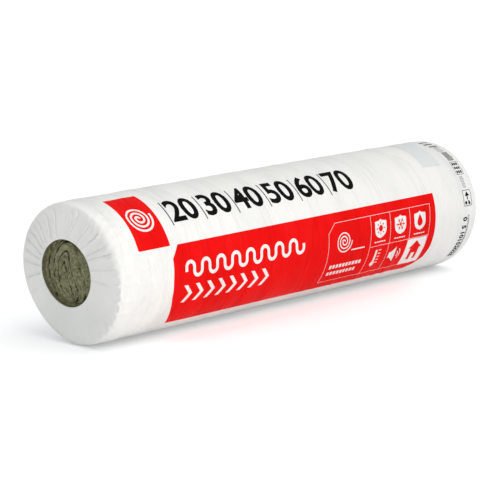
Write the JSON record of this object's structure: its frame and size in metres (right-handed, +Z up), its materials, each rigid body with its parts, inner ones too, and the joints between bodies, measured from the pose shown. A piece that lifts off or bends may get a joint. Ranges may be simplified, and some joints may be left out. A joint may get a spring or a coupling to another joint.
{
  "type": "insulation roll",
  "caption": "Roll of mineral wool insulation mat in a printed plastic film wrap that is gathered round an opening at each end.",
  "frame": {"origin": "on the floor under the middle of the roll, which lies on its side", "axes": "+X along the roll's axis away from the end that the picture shows, -Y towards the side that the picture shows, +Z up"},
  "size_m": [1.2012, 0.3102, 0.3099],
  "materials": {
    "mineral_wool": "matte, fibrous",
    "white_film": "satin film with a red and black print",
    "label_paper": "matte"
  },
  "bodies": {
    "root": {"mat_roll": "mineral_wool", "wrap_film": "white_film", "blank_label": "label_paper"}
  },
  "joints": []
}
